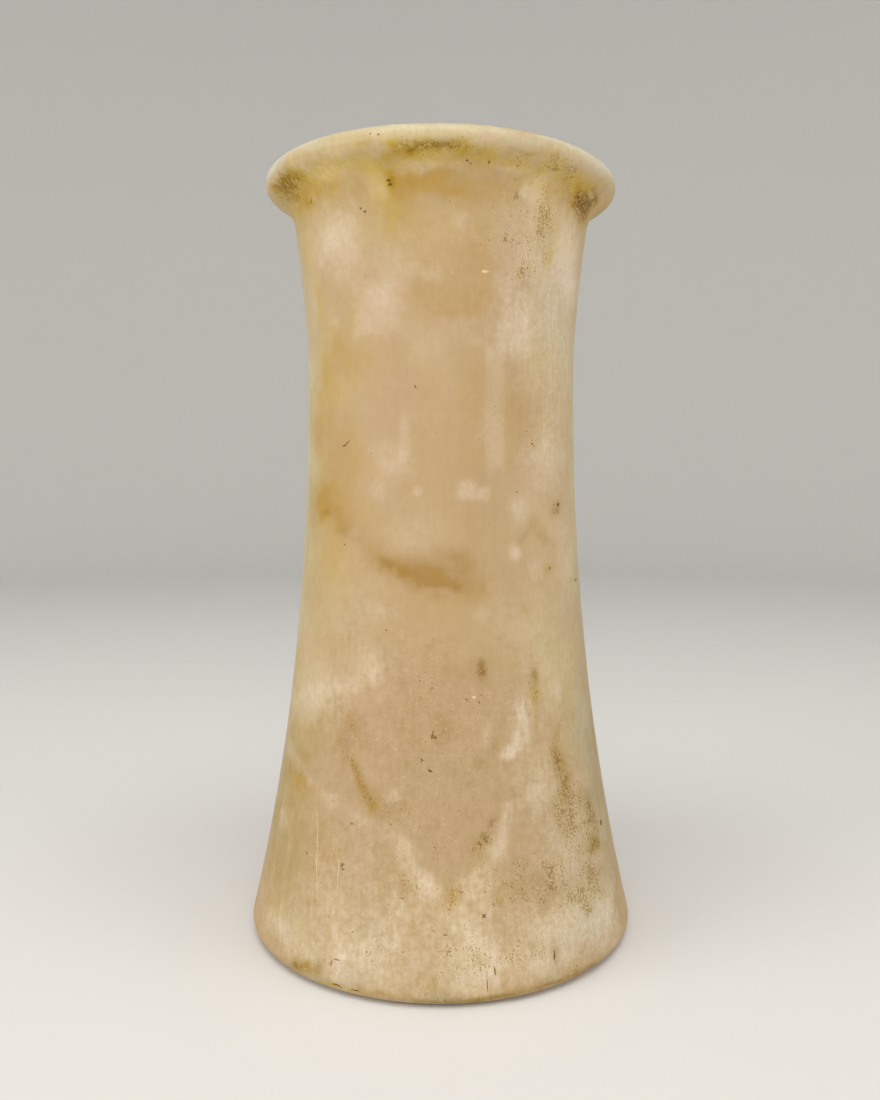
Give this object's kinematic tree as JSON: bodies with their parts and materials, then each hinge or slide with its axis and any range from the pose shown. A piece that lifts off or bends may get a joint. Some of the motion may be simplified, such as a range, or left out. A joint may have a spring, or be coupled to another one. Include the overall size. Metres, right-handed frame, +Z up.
{
  "type": "alabaster cylinder vessel",
  "caption": "Tall waisted stone jar with a rolled rim, a wide foot and a bored hollow interior.",
  "frame": {"origin": "middle of the underside, on the surface that the vessel stands on", "axes": "+Z up along the vessel's axis; +X is the picture's right, where the slanting rim is lowest"},
  "size_m": [0.1144, 0.1144, 0.2205],
  "materials": {
    "alabaster": "satin"
  },
  "bodies": {
    "root": {"vessel": "alabaster"}
  },
  "joints": []
}
